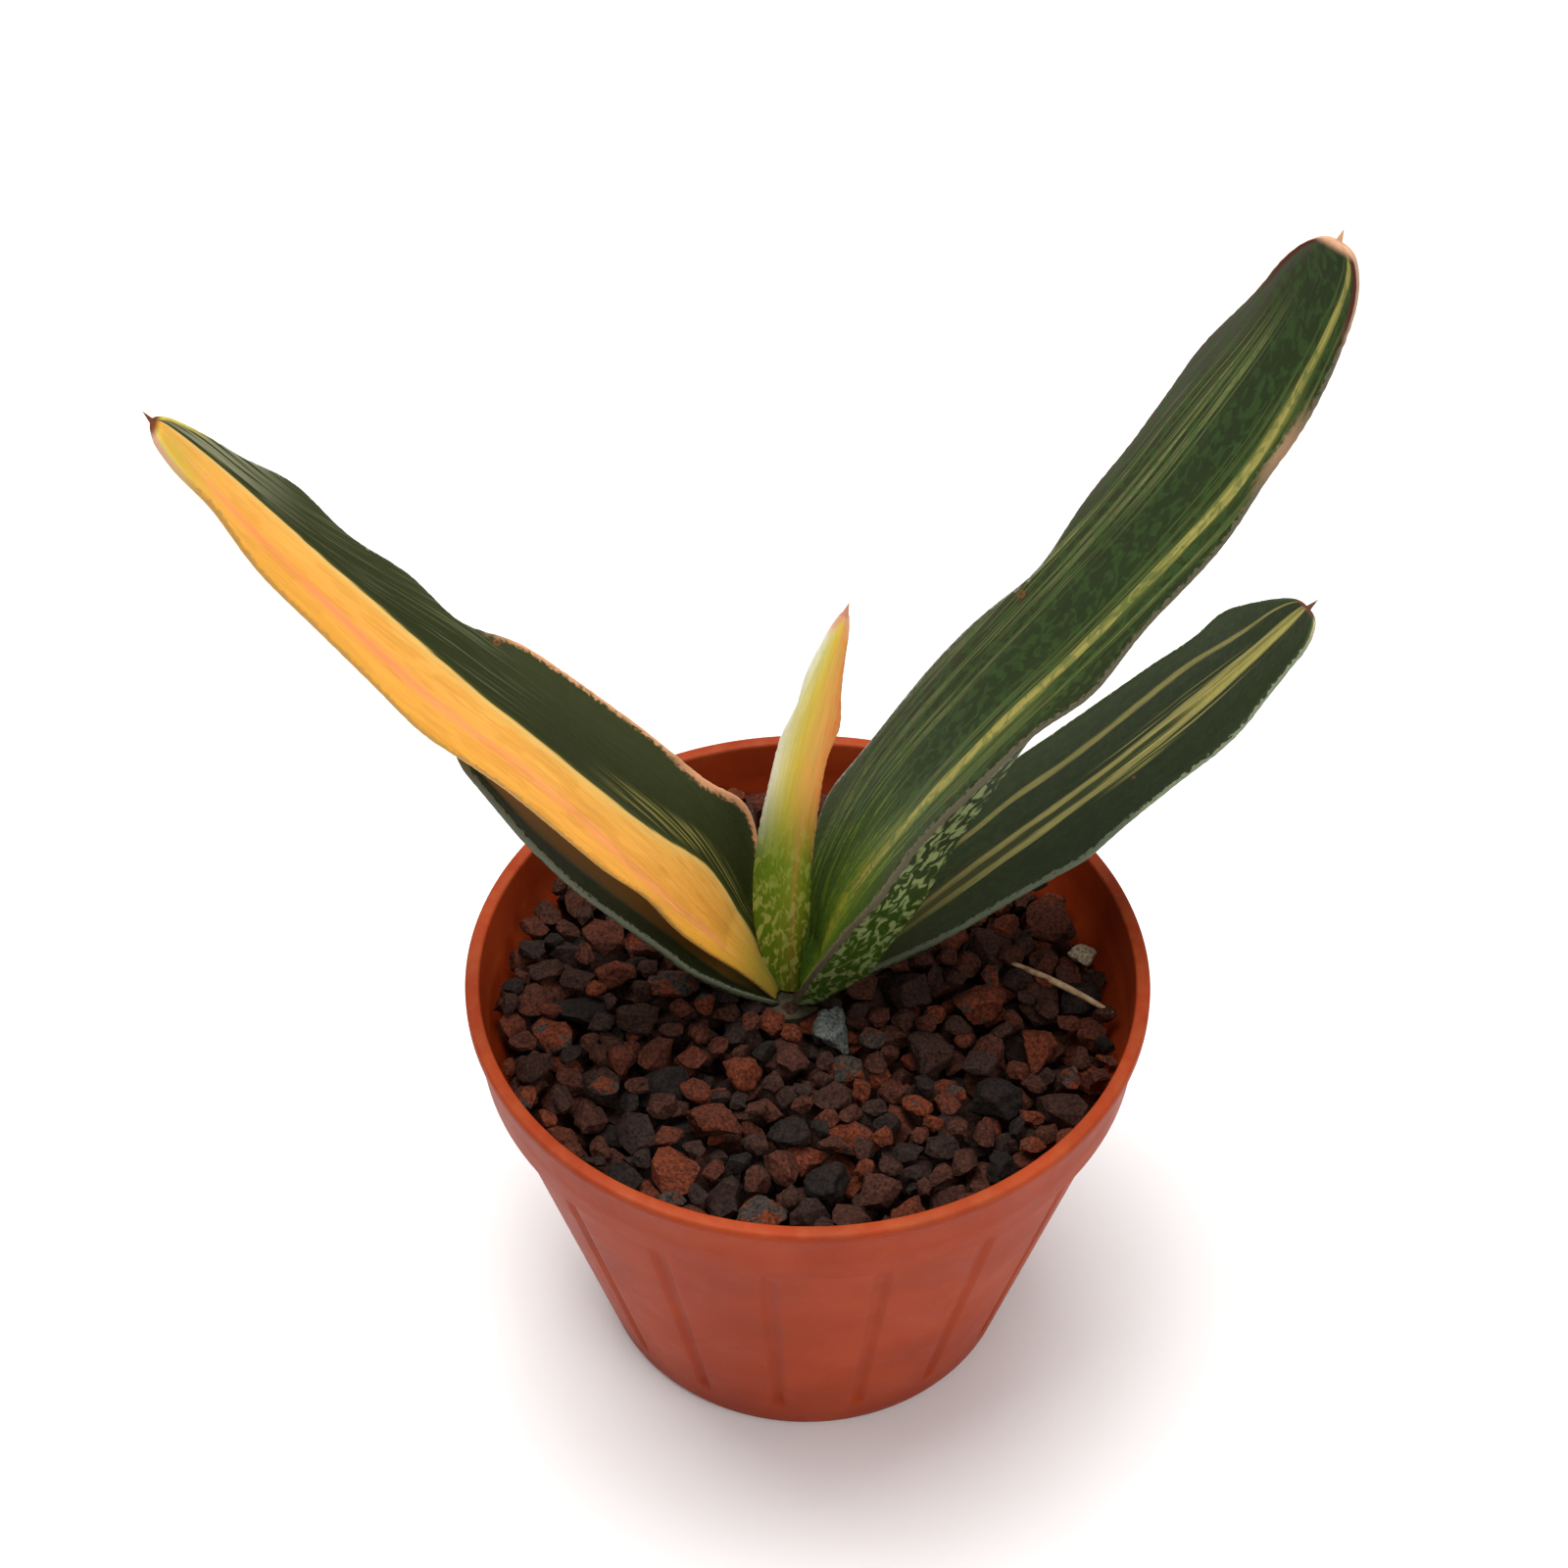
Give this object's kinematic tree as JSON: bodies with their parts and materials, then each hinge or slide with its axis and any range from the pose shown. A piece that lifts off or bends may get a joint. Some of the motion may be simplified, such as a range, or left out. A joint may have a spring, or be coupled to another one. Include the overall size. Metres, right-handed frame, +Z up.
{
  "type": "potted gasteria",
  "caption": "Small variegated gasteria with thick tapering leaves in opposite ranks, growing from lava grit in a round ribbed nursery pot.",
  "frame": {"origin": "on the pot's axis, in the plane of the pot's foot, at the middle of the flat pad under the pot", "axes": "+Z up along the pot's axis, +X towards the side where the tallest leaf leans, -Y towards the viewer, so the leaves spread along X"},
  "size_m": [0.1322, 0.085, 0.1593],
  "materials": {
    "terracotta_plastic": "moulded polypropylene, terracotta brown, low sheen",
    "lava_grit": "red-brown lava grit, rough",
    "lava_stone": "rough lava stone",
    "grey_stone": "dark grey pebble, slightly smooth",
    "pale_stone": "pale tan pebble",
    "dry_needle": "dry plant needle",
    "stem_tissue": "short plant stem",
    "root_tissue": "fleshy roots",
    "leaf_skin": "thick succulent leaf, dark green with yellow stripes, smooth",
    "young_leaf_skin": "young succulent leaf, yellow to lime green, smooth"
  },
  "bodies": {
    "root": {"pot": "terracotta_plastic", "grit_bed": "lava_grit", "stem": "stem_tissue", "roots": "root_tissue", "leaf_left_upper": "leaf_skin", "leaf_left_lower": "leaf_skin", "leaf_right_upper": "leaf_skin", "leaf_right_lower": "leaf_skin", "leaf_centre": "young_leaf_skin", "crown_pebble": "grey_stone", "pale_pebble": "pale_stone", "dry_needle": "dry_needle", "lava_stone_01": "lava_stone", "lava_stone_02": "lava_stone", "lava_stone_03": "lava_stone", "lava_stone_04": "lava_stone", "lava_stone_05": "lava_stone", "lava_stone_06": "lava_stone", "lava_stone_07": "lava_stone", "lava_stone_08": "lava_stone", "lava_stone_09": "lava_stone", "lava_stone_10": "lava_stone", "lava_stone_11": "lava_stone", "lava_stone_12": "lava_stone", "lava_stone_13": "lava_stone", "lava_stone_14": "lava_stone", "lava_stone_15": "lava_stone", "lava_stone_16": "lava_stone", "lava_stone_17": "lava_stone", "lava_stone_18": "lava_stone", "lava_stone_19": "lava_stone", "lava_stone_20": "lava_stone", "lava_stone_21": "lava_stone", "lava_stone_22": "lava_stone", "lava_stone_23": "lava_stone", "lava_stone_24": "lava_stone", "lava_stone_25": "lava_stone", "lava_stone_26": "lava_stone", "lava_stone_27": "lava_stone", "lava_stone_28": "lava_stone", "lava_stone_29": "lava_stone", "lava_stone_30": "lava_stone"}
  },
  "joints": []
}
